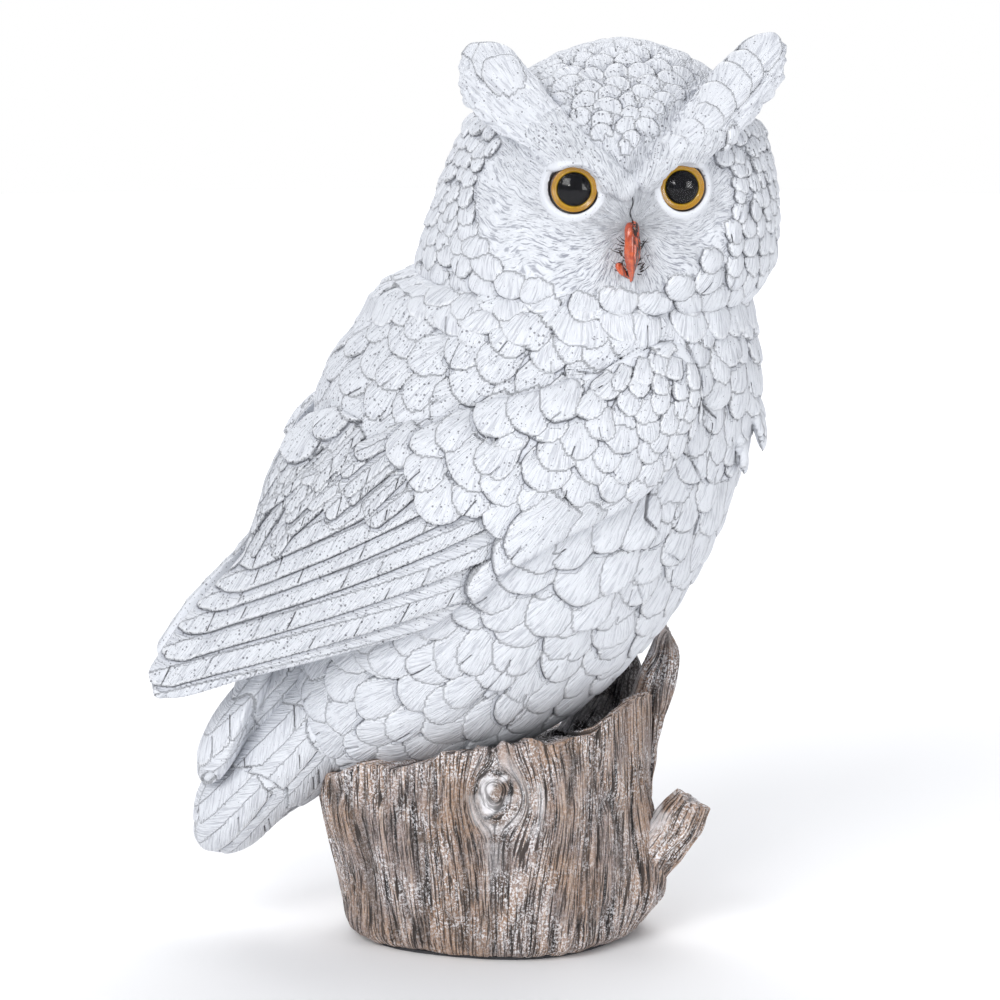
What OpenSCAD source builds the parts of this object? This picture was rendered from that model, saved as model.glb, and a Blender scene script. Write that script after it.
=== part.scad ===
// Owl on a tree stump: a hollow cast figurine with inset eyes.
// The owl faces -Y, its body points to +X, and the origin is the centre of the base.

/* [Body] */
// Casting wall of the body
body_wall = 6; // [4:0.5:8]
// Half width of the body across its fullest ring
body_half_depth = 57; // [52:0.5:60]
// How far the wings stand off the flank
wing_rise = 8; // [6:0.5:10]

/* [Head] */
// Turn of the face from -Y towards +X
head_turn = 8.5; // [5:0.5:12]
// Casting wall of the head, at its thinnest
head_wall = 7; // [6:0.5:10]
// Diameter of an eye with its iris ring
eye_d = 14.6; // [13:0.1:15]
// Diameter of the black pupil
pupil_d = 10.6; // [9:0.1:11]
// Distance between the centres of the eyes
eye_gap = 34; // [33:0.5:36]
// Height of the eyes above the table
eye_z = 252; // [250:0.5:254]

/* [Stump] */
// Casting wall of the stump
stump_wall = 7; // [5:0.5:9]
// Half width of the stump at the base
base_half = 49; // [46:0.5:51]
// Thickness of the felt under the base
felt_t = 1; // [0.8:0.1:1.5]

/* [Smoothness] */
// Sides of each cast form
sides = 36; // [24:4:40]
// Rings between two stations of a cast form
steps = 3; // [2:1:4]

/* [Hidden] */
white = [0.89, 0.90, 0.93];
bark = [0.46, 0.38, 0.34];
orange = [0.80, 0.25, 0.12];
amber = [0.78, 0.55, 0.08];

// ---- Skins: a closed surface through a list of rings -------------------------------------

function curve(p0, p1, p2, p3, t) =
    0.5 * (2 * p1 + (p2 - p0) * t + (2 * p0 - 5 * p1 + 4 * p2 - p3) * t * t
        + (3 * p1 - p0 - 3 * p2 + p3) * t * t * t);

// A smooth run of n rows between each two rows of the list s
function refine(s, n) = concat(
    [for (i = [0 : len(s) - 2]) for (k = [0 : n - 1])
        curve(s[max(i - 1, 0)], s[i], s[i + 1], s[min(i + 2, len(s) - 1)], k / n)],
    [s[len(s) - 1]]);

module skin(rings) {
    n = len(rings[0]);
    last = len(rings) - 1;
    polyhedron(
        points = [for (r = rings) for (p = r) p],
        faces = concat(
            [[for (k = [0 : n - 1]) k]],
            [for (i = [0 : last - 1]) for (k = [0 : n - 1]) let (m = (k + 1) % n)
                for (f = [[i * n + k, (i + 1) * n + k, (i + 1) * n + m],
                          [i * n + k, (i + 1) * n + m, i * n + m]]) f],
            [[for (k = [n - 1 : -1 : 0]) last * n + k]]
        )
    );
}

// An oval ring about c with half axes a and b, where front replaces b on its negative side
function oval(c, a, b, front, count) = [for (k = [0 : count - 1]) let (t = 360 * k / count)
    c + cos(t) * a + sin(t) * (sin(t) < 0 ? front : b)];

// Rings along the body's middle plane. A row is [x, z, half height, half depth, lean of the ring]
function spine_rings(rows, grow, count) = [for (r = refine(rows, steps))
    oval([r[0], 0, r[1]],
         (r[2] + grow) * [cos(r[4]), 0, -sin(r[4])],
         [0, -(r[3] + grow), 0], [0, -(r[3] + grow), 0], count)];

function unit(v) = v / norm(v);

// Rings along a path. A row is [x, y, z, half width, half thickness]; up is the width's side
function path_rings(rows, up, count) = let (s = refine(rows, steps), last = len(s) - 1)
    [for (i = [0 : last])
        let (
            here = s[i],
            ahead = s[min(i + 1, last)],
            behind = s[max(i - 1, 0)],
            d = unit([ahead[0] - behind[0], ahead[1] - behind[1], ahead[2] - behind[2]]),
            wide = unit(up - (up * d) * d),
            thick = cross(d, wide))
        oval([here[0], here[1], here[2]], here[3] * wide, here[4] * thick, here[4] * thick, count)];

// Hands one cast surface on as it is, at its own size
module cast() { resize([0, 0, 0]) children(); }

// ---- Owl: solid forms --------------------------------------------------------------------

k_body = body_half_depth / 57;
body_rows = [
    [33.0, 231, 26, 24 * k_body, 0],
    [30.5, 223, 45, 42 * k_body, 0],
    [22.5, 210, 60, 51 * k_body, 4],
    [21.0, 192.5, 65, 55 * k_body, 10],
    [12.0, 169.5, 68.5, 57 * k_body, 18],
    [2.8, 147, 67.5, 57 * k_body, 25],
    [-6.2, 125, 61, 54 * k_body, 30],
    [-18.7, 105, 53, 49 * k_body, 36],
    [-31.2, 88, 41, 42 * k_body, 42],
    [-44.3, 75, 28, 33 * k_body, 46],
    [-54.8, 65, 19, 22 * k_body, 48],
    [-63.0, 57, 7, 8 * k_body, 48]
];
module body_form() { skin(spine_rings(body_rows, 0, sides)); }
module body_void() {
    skin(spine_rings([for (i = [2 : 8]) body_rows[i]], -body_wall, 20));
}

tail_rows = [
    [-46, 82, 19, 20, 42],
    [-60, 68, 18, 23, 42],
    [-71, 57, 17, 22, 42],
    [-82, 46.5, 14.5, 20, 42],
    [-89.5, 37, 12, 17, 42],
    [-94.5, 30, 7, 10, 42],
    [-96.5, 27, 2, 3, 42]
];
upper_tail_rows = [
    [-52, 99, 10, 16, 34],
    [-66, 88, 11, 18, 34],
    [-77, 76, 10, 18, 36],
    [-86, 65, 9, 16, 38],
    [-93, 56, 6, 12, 40],
    [-97, 51, 2, 4, 40]
];
module tail_form() { skin(spine_rings(tail_rows, 0, 28)); }
module upper_tail_form() { skin(spine_rings(upper_tail_rows, 0, 24)); }

// A row is [upper edge x, z, y, lower edge x, z, y, y half way between them]
wing_rows = [
    [61, 200, -42, 65, 187, -42, -45],
    [54, 204, -44, 64, 179, -44, -49],
    [42, 202, -49, 59, 170, -47, -55],
    [29, 197, -52.5, 49, 159, -51, -60],
    [15, 191, -54, 34, 151, -56, -63],
    [-2, 188, -52, 16, 144, -59, -64],
    [-23, 183, -46, -1, 133, -59, -62.5],
    [-42, 180, -34, -11, 121, -58, -60],
    [-60, 175, -18, -23, 112, -55, -53],
    [-70, 161, -15, -40, 106, -50, -46],
    [-77, 145, -15, -60, 99, -43, -39],
    [-82, 129, -16, -78, 93, -36, -33],
    [-92, 118, -17, -91, 88, -31, -28],
    [-103, 106, -19, -102, 84, -27, -25],
    [-113, 91, -21, -111, 83, -24, -23]
];
wing_cols = 10;
wing_edge = 0.4;
function wing_y(r, t) = r[5] * (1 - t) * (1 - 2 * t) + 4 * r[6] * t * (1 - t) + r[2] * t * (2 * t - 1);
function wing_at(r, t, inward) = [
    r[3] + (r[0] - r[3]) * t,
    wing_y(r, t) + inward * wing_rise * (wing_edge + (1 - wing_edge) * 4 * t * (1 - t)),
    r[4] + (r[1] - r[4]) * t];
module wing_form() {
    skin([for (r = refine(wing_rows, 2)) concat(
        [for (k = [0 : wing_cols]) wing_at(r, k / wing_cols, 0)],
        [for (k = [wing_cols : -1 : 0]) wing_at(r, k / wing_cols, 1)])]);
}

// A row is [x, z, half width, depth in front, depth behind]
head_rows = [
    [28.0, 203, 41, 36, 36],
    [28.7, 210, 51, 45, 42],
    [31.5, 221, 56.5, 49, 45],
    [33.8, 234, 56, 50, 47],
    [35.5, 246, 53.5, 50, 47],
    [36.8, 258, 50, 47, 45],
    [37.5, 270, 44.5, 42, 42],
    [39.0, 281, 34.5, 32, 35],
    [40.0, 290, 22, 21, 25],
    [40.0, 295, 7, 7, 9]
];
head_y = -2;
face_right = [cos(head_turn), sin(head_turn), 0];
face_back = [-sin(head_turn), cos(head_turn), 0];
function head_ring(r, grow, count) =
    oval([r[0], head_y, r[1]], (r[2] + grow) * face_right, (r[4] + grow) * face_back,
         (r[3] + grow) * face_back, count);
module head_form() { skin([for (r = refine(head_rows, steps)) head_ring(r, 0, sides)]); }
module head_void() {
    intersection() {
        skin([for (i = [4 : 8]) head_ring(head_rows[i], -head_wall - 4, 20)]);
        translate([0, 30, 258]) cube([200, 84, 44], center = true);
    }
}

// The axes of the eyes meet the face square on
eye_depth = 44;
eye_splay = 5;
module at_eye(side) {
    translate([34.5, head_y, eye_z] + side * eye_gap / 2 * face_right - eye_depth * face_back)
        rotate([90, 0, head_turn + side * eye_splay])
            children();
}
socket_d = eye_d + 0.6;
socket_back = -5;

// ---- Owl: nodes --------------------------------------------------------------------------

dowel_d = 5;
neck_top = 231;
module neck_bore(d) { translate([32, 0, neck_top - 16]) cylinder(d = d, h = 28, $fn = 32); }
seat_at = [[-10, -14], [-10, 14]];
module seat_bores(d, bottom, top) {
    for (p = seat_at)
        translate([p[0], p[1], bottom]) cylinder(d = d, h = top - bottom, $fn = 32);
}
// Passages the castings are poured and drained through, hidden in the joints
pour_d = 12;
module neck_passage() { translate([32, 16, 200]) cylinder(d = pour_d, h = 52, $fn = 32); }
module seat_passage() { translate([-10, 0, 40]) cylinder(d = pour_d, h = 36, $fn = 32); }
fit = 0.1;

module owl_body() color(white) difference() {
    cast() body_form();
    body_void();
    neck_bore(dowel_d + fit);
    seat_bores(dowel_d + fit, 40, 66);
    neck_passage();
    seat_passage();
}
module wing_near() {
    cast() difference() {
        wing_form();
        body_form();
    }
}
module right_wing() color(white) wing_near();
module left_wing() color(white) mirror([0, 1, 0]) wing_near();
module tail() color(white) cast() difference() {
    tail_form();
    body_form();
}
module upper_tail() color(white) cast() difference() {
    upper_tail_form();
    body_form();
    tail_form();
    wing_form();
    mirror([0, 1, 0]) wing_form();
}
module neck_dowel() color("silver") neck_bore(dowel_d);
module owl_head() color(white) difference() {
    cast() difference() {
        head_form();
        body_form();
    }
    head_void();
    for (side = [-1, 1]) at_eye(side)
        translate([0, 0, socket_back]) cylinder(d = socket_d, h = 30, $fn = 48);
    neck_bore(dowel_d + fit);
    neck_passage();
}

// Each brow starts over the beak and rises into the ear tuft
right_tuft_rows = [
    [41, -52, 252, 2.5, 3],
    [33, -50, 257, 5, 5],
    [24, -46, 262.5, 7, 6],
    [14, -40, 270.5, 8.5, 7],
    [3.5, -33, 279.5, 10.8, 6.5],
    [-4, -28, 287, 10.2, 5.5],
    [-9.5, -25, 292.5, 3, 2.5]
];
left_tuft_rows = [
    [45, -51, 254, 2.5, 3],
    [51, -48, 259, 5, 5],
    [59, -43, 265, 7.2, 6],
    [68, -36, 273, 9.2, 6.5],
    [76, -30, 281.5, 9.5, 6.5],
    [84, -26, 290.5, 7.8, 5],
    [89, -24, 296, 2.5, 2.5]
];
module tuft(rows, up) color(white) difference() {
    cast() difference() {
        skin(path_rings(rows, up, 20));
        head_form();
    }
    for (side = [-1, 1]) at_eye(side)
        translate([0, 0, socket_back]) cylinder(d = socket_d, h = 30, $fn = 48);
}
module right_brow_tuft() tuft(right_tuft_rows, [1, 0, 1]);
module left_brow_tuft() tuft(left_tuft_rows, [-1, 0, 1]);

beak_rows = [
    [42.0, -49.5, 242, 1.6, 1.8],
    [42.3, -53.5, 238.5, 2.3, 3],
    [42.3, -55.5, 233, 2.4, 3.2],
    [41.9, -56, 227.5, 1.9, 2.4],
    [41.4, -55, 223.8, 0.7, 0.8]
];
lower_beak_rows = [
    [36.8, -51.0, 229.5, 1.3, 1.2],
    [38.2, -52.4, 227.5, 1.7, 1.3],
    [39.8, -53.0, 225.8, 1.5, 1.1],
    [41.0, -53.2, 224.6, 0.6, 0.5]
];
module upper_beak() color(orange) cast() difference() {
    skin(path_rings(beak_rows, [1, 0, 0], 16));
    head_form();
    skin(path_rings(lower_beak_rows, [1, 0, 0], 12));
}
module lower_beak() color(orange) cast() difference() {
    skin(path_rings(lower_beak_rows, [1, 0, 0], 12));
    head_form();
}

// ---- Eyes --------------------------------------------------------------------------------

ring_t = 3;
lens_rise = 2.6;
module eye_ring(side) color(amber) at_eye(side) difference() {
    translate([0, 0, socket_back + fit]) cylinder(d1 = eye_d, d2 = eye_d - 0.6, h = 4 + ring_t, $fn = 64);
    translate([0, 0, socket_back + 2]) cylinder(d = pupil_d, h = 20, $fn = 64);
}
function ball_r(d, rise) = (d * d / 4 + rise * rise) / (2 * rise);
module dome(d, rise) {
    r = ball_r(d, rise);
    intersection() {
        translate([0, 0, rise - r]) sphere(r = r, $fn = 96);
        cylinder(d = d, h = rise + 1, $fn = 64);
    }
}
lens_z = socket_back + fit + 4 + ring_t + 0.05;
pupil_rise = 1.9;
module pupil(side) color("black") at_eye(side) {
    translate([0, 0, socket_back + 2]) cylinder(d = pupil_d - fit, h = 5, $fn = 64);
    translate([0, 0, socket_back + 7]) dome(pupil_d - fit, pupil_rise);
}
module eye_lens(side) color([0.9, 0.95, 1, 0.4]) at_eye(side) difference() {
    translate([0, 0, lens_z]) dome(eye_d - 0.7, lens_rise);
    translate([0, 0, socket_back + 7]) dome(pupil_d + 0.1, pupil_rise + 0.1);
}
module right_eye_ring() eye_ring(-1);
module left_eye_ring() eye_ring(1);
module right_pupil() pupil(-1);
module left_pupil() pupil(1);
module right_eye_lens() eye_lens(-1);
module left_eye_lens() eye_lens(1);

// ---- Stump -------------------------------------------------------------------------------

// A row is [x, z, half width, half depth]
stump_rows = [
    [-0.5, felt_t, base_half - 4, base_half - 5],
    [0, 4, base_half, base_half - 2.5],
    [0, 12, base_half + 1.5, base_half - 1.5],
    [-1, 23, base_half + 3, base_half - 1],
    [-4, 46, base_half + 5.5, base_half],
    [-3, 66, base_half + 6, base_half],
    [-2, 96, base_half + 5, base_half - 1]
];
// Slow waves round the trunk
function trunk(t, z) = 1 + 0.025 * sin(3 * t + 220 + z) + 0.018 * sin(5 * t + 100 - 0.6 * z);
function stump_ring(r, grow, count) = [for (k = [0 : count - 1]) let (t = 360 * k / count)
    [r[0] + (r[2] + grow) * trunk(t, r[1]) * cos(t), (r[3] + grow) * trunk(t, r[1]) * sin(t), r[1]]];
module stump_skin(grow, rows, count) {
    skin([for (r = refine(rows, steps)) stump_ring(r, grow, count)]);
}
// Everything above the slanting broken top
top_z = 62.5;
top_slope_x = 0.164;
top_slope_y = -0.2;
module above_top(lift) {
    translate([0, 0, top_z + lift])
        multmatrix([[1, 0, 0, 0], [0, 1, 0, 0], [top_slope_x, top_slope_y, 1, 0], [0, 0, 0, 1]])
            translate([-150, -150, 0]) cube([300, 300, 150]);
}
hollow_rows = [
    [0, -1, base_half - 2.5, base_half - 5],
    [-1, 12, base_half, base_half - 2.5],
    [-2, 24, base_half + 1, base_half - 1],
    [-2, 34, base_half - 8, base_half - 10],
    [-2, 38, base_half - 24, base_half - 26]
];
// The rotted bowl in the top, which the owl's belly sits in
module bowl() {
    translate([8, 4, 96]) scale([1, 0.92, 0.95]) sphere(r = 44, $fn = 48);
}
plate_t = 4;
module stump_cut() {
    cast() difference() {
        stump_skin(0, stump_rows, 40);
        above_top(0);
        bowl();
        body_form();
        tail_form();
        stump_skin(-stump_wall, hollow_rows, 24);
    }
}
module stump() color(bark) difference() {
    stump_cut();
    seat_bores(dowel_d + fit, 40, 66);
}
module seat_dowels() color("silver") seat_bores(dowel_d, 44, 62);

function base_outline(grow, count) = [for (p = stump_ring(stump_rows[0], grow, count)) [p[0], p[1]]];
plate_gap = 0.2;
module base_plate() color([0.35, 0.32, 0.3]) difference() {
    translate([0, 0, felt_t]) linear_extrude(plate_t)
        polygon(base_outline(-stump_wall - plate_gap, 40));
    vent_bore();
}
vent_d = 8;
module vent_bore() { translate([-16, 12, -1]) cylinder(d = vent_d, h = 20, $fn = 32); }
module felt_pad() color([0.15, 0.15, 0.16]) difference() {
    linear_extrude(felt_t) polygon(base_outline(-1.5, 40));
    vent_bore();
}

branch_rows = [
    [41, -8, 17, 9, 9],
    [46, -9, 23, 9.5, 9.5],
    [54, -10, 31, 9, 9],
    [60, -11, 39, 8, 8],
    [64.5, -11, 46, 6.5, 6.5]
];
tall_rows = [
    [43, 5, 44, 8, 7],
    [45.5, 6, 56, 7.5, 6.5],
    [49, 7, 70, 7, 6],
    [53, 8, 82, 6.3, 5],
    [55.2, 9, 90, 5.4, 4],
    [55, 9, 96, 3.2, 2.6],
    [54.8, 9, 101, 0.8, 0.8]
];
inner_rows = [
    [32, 21, 56, 14, 8],
    [36, 21, 66, 12, 6.5],
    [40, 21, 75, 10, 5],
    [43.5, 20.5, 83, 5.5, 3.5],
    [45, 20, 89, 1, 1]
];
module trunk_cut() {
    cast() difference() {
        children();
        stump_skin(0, stump_rows, 40);
    }
}
module branch_stub() color(bark) trunk_cut() skin(path_rings(branch_rows, [-1, 0, 1], 20));
// The splinters stand in the wall, so only what lies under the slanting top is taken off
module splinter(rows, up) {
    color(bark) cast() difference() {
        skin(path_rings(rows, up, 20));
        difference() {
            stump_skin(0.01, stump_rows, 40);
            above_top(0);
            bowl();
        }
        body_form();
    }
}
module tall_splinter() splinter(tall_rows, [1, 0, 0]);
module inner_splinter() color(bark) cast() difference() {
    skin(path_rings(inner_rows, [1, 0, 0], 20));
    difference() {
        stump_skin(0.01, stump_rows, 40);
        above_top(0);
        bowl();
    }
    body_form();
    skin(path_rings(tall_rows, [1, 0, 0], 20));
}

felt_pad();
base_plate();
stump();
branch_stub();
tall_splinter();
inner_splinter();
seat_dowels();
owl_body();
right_wing();
left_wing();
tail();
upper_tail();
neck_dowel();
owl_head();
right_brow_tuft();
left_brow_tuft();
upper_beak();
lower_beak();
right_eye_ring();
left_eye_ring();
right_pupil();
left_pupil();
right_eye_lens();
left_eye_lens();
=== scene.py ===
import copy
import math

import bpy
import numpy as np
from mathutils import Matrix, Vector


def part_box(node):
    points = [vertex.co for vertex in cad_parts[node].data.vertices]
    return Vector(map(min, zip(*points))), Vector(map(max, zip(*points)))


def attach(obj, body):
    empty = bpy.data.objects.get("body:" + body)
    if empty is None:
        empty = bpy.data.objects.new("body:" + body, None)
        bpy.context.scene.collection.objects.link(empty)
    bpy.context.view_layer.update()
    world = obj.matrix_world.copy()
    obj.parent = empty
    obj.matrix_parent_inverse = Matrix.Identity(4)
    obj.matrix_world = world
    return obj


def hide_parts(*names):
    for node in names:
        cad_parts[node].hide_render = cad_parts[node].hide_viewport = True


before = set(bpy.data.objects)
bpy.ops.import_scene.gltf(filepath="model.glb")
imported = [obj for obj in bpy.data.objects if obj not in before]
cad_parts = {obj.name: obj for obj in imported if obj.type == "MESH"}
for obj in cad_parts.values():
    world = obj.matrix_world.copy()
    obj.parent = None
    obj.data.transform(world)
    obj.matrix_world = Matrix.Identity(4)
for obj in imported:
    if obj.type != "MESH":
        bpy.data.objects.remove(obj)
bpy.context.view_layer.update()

# All the modelling below is in millimetres, in the row frame. Meshes are scaled to metres when made.
MM = 0.001
RNG = np.random.default_rng(7)


# ---- Vectors and noise ----

def unit(v):
    """The vector or vectors v, made one long."""
    return v / np.maximum(np.linalg.norm(v, axis=-1, keepdims=True), 1e-9)


def lengths(v):
    """How long each row of v is."""
    return np.linalg.norm(v, axis=1)


def ease(a, b, x):
    """0 below a and 1 above b, with a smooth rise between. a may be the greater."""
    t = np.clip((x - a) / (b - a), 0, 1)
    return t * t * (3 - 2 * t)


def bell(x, width):
    return np.exp(-(x / width) ** 2)


def lattice(i, seed):
    """A repeatable random number from 0 to 1 for each row of whole numbers in i."""
    h = i[:, 0] * 374761393 + i[:, 1] * 668265263 + i[:, 2] * 2147483647 + seed * 1274126177
    h = (h ^ (h >> 13)) * 1274126177 & 0xFFFFFFFF
    h = (h ^ (h >> 16)) * 2246822519 & 0xFFFFFFFF
    return ((h ^ (h >> 15)) & 0xFFFFFF) / 0xFFFFFF


def noise(p, size, seed=0):
    """Smooth noise from -1 to 1 at the points p, with lumps about size across."""
    q = np.atleast_2d(p) / size
    i = np.floor(q).astype(np.int64)
    t = q - i
    t = t * t * (3 - 2 * t)
    total = 0
    for dx in (0, 1):
        for dy in (0, 1):
            for dz in (0, 1):
                weight = abs(1 - dx - t[:, 0]) * abs(1 - dy - t[:, 1]) * abs(1 - dz - t[:, 2])
                total = total + weight * lattice(i + [dx, dy, dz], seed)
    return total * 2 - 1


def hairs(p, flow, size, reach, seed):
    """Noise drawn out along flow at the points p, so that it makes strands: mostly from -1 to 1."""
    total = sum(noise(p + flow * (reach * k / 4), size, seed) for k in range(-4, 5))
    return total / (2 * total.std())


def streaks(across, along, pitch, length, seed=0):
    """Noise stretched along the grain."""
    p = np.stack([across / pitch, along / length, np.zeros(len(across))], 1)
    return noise(p, 1.0, seed)


# ---- Meshes ----

def cad_part(node):
    """A CAD node's vertices and triangles."""
    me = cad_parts[node].data
    me.calc_loop_triangles()
    co = np.zeros(len(me.vertices) * 3)
    me.vertices.foreach_get("co", co)
    tri = np.zeros(len(me.loop_triangles) * 3, int)
    me.loop_triangles.foreach_get("vertices", tri)
    return co.reshape(-1, 3) / MM, tri.reshape(-1, 3)


def tube_faces(rings, sides, closed=False):
    """Faces over rings of vertices, one after another. The ends are capped, or else joined."""
    faces = []
    for i in range(rings if closed else rings - 1):
        low, high = i * sides, (i + 1) % rings * sides
        for k in range(sides):
            m = (k + 1) % sides
            faces.append((low + k, low + m, high + m, high + k))
    if not closed:
        faces.append(tuple(range(sides - 1, -1, -1)))
        faces.append(tuple(range((rings - 1) * sides, rings * sides)))
    return faces


def turned_part(profile, sides, closed=False):
    """A solid of revolution about Z through the points (radius, height)."""
    t = np.arange(sides) * 2 * math.pi / sides
    rings = [np.stack([r * np.cos(t), r * np.sin(t), np.full(sides, z)], 1) for r, z in profile]
    return np.concatenate(rings), tube_faces(len(profile), sides, closed)


def ellipsoid_part(centre, radii):
    profile = [(math.sin(a), -math.cos(a)) for a in np.linspace(0.05, math.pi - 0.05, 16)]
    v, f = turned_part(profile, 24)
    return v * radii + centre, f


def add_object(name, data):
    ob = bpy.data.objects.new(name, data)
    bpy.context.scene.collection.objects.link(ob)
    return ob


def make_mesh(name, parts):
    """One mesh of all the parts, each its vertices in millimetres and its faces."""
    me = bpy.data.meshes.new(name)
    verts, faces, base = [], [], 0
    for v, f in parts:
        verts.append(np.asarray(v, float))
        faces += [tuple(int(i) + base for i in face) for face in f]
        base += len(v)
    me.from_pydata((np.concatenate(verts) * MM).tolist(), [], faces)
    me.update()
    return me


def outer_shell(v, quads):
    """Leaves out whatever isn't joined to the outermost point, such as the wall of a closed hollow."""
    label = np.arange(len(v))
    while True:
        least = label[quads].min(1)
        new = label.copy()
        for k in range(4):
            np.minimum.at(new, quads[:, k], least)
        new = new[new]
        if (new == label).all():
            break
        label = new
    keep = label == label[np.argmax(v[:, 0])]
    number = np.cumsum(keep) - 1
    return v[keep], number[quads[keep[quads[:, 0]]]]


def remesh(name, parts, voxel, relax=6):
    """One even, closed skin round all the parts: its vertices and its quads."""
    me = make_mesh(name, parts)
    ob = add_object(name, me)
    mod = ob.modifiers.new("even", "REMESH")
    mod.mode = "VOXEL"
    mod.voxel_size = voxel * MM
    mod = ob.modifiers.new("relax", "SMOOTH")
    mod.factor = 0.5
    mod.iterations = relax
    done = ob.evaluated_get(bpy.context.evaluated_depsgraph_get())
    out = done.to_mesh()
    v = np.zeros(len(out.vertices) * 3)
    out.vertices.foreach_get("co", v)
    loops = np.zeros(len(out.loops), int)
    out.loops.foreach_get("vertex_index", loops)
    done.to_mesh_clear()
    bpy.data.objects.remove(ob)
    bpy.data.meshes.remove(me)
    return outer_shell(v.reshape(-1, 3) / MM, loops.reshape(-1, 4))


def gather(quads, values, count):
    """Adds each quad's value to its four vertices, and makes the sums one long."""
    total = np.zeros((count, 3))
    for k in range(4):
        for axis in range(3):
            total[:, axis] += np.bincount(quads[:, k], values[:, axis], count)
    return unit(total)


def normals_of(v, quads):
    """Vertex normals, evened out over the neighbours."""
    a, b, c, d = (v[quads[:, k]] for k in range(4))
    n = gather(quads, np.cross(c - a, d - b), len(v))
    for _ in range(6):
        n = gather(quads, n[quads].sum(1), len(v))
    return n


def add_piece(name, parts, nodes, slot, materials, **guides):
    """Makes a piece, with guides for its paint as vertex attributes, and gives it its place in the
    frame."""
    me = make_mesh(name, parts)
    for key, values in guides.items():
        a = me.attributes.new(key, "FLOAT_VECTOR", "POINT")
        a.data.foreach_set("vector", np.ascontiguousarray(values, np.float32).ravel())
    for m in materials:
        me.materials.append(m)
    me.polygons.foreach_set("use_smooth", np.ones(len(me.polygons), bool))
    ob = add_object(name, me)
    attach(ob, "root")
    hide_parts(*nodes)
    return me


# ---- Feathers: relief stamped into an even skin ----

REACH = 1.6  # how far from a feather's edge the edge distance is kept
BARE = -9.0  # the relief where no feather lies


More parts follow.
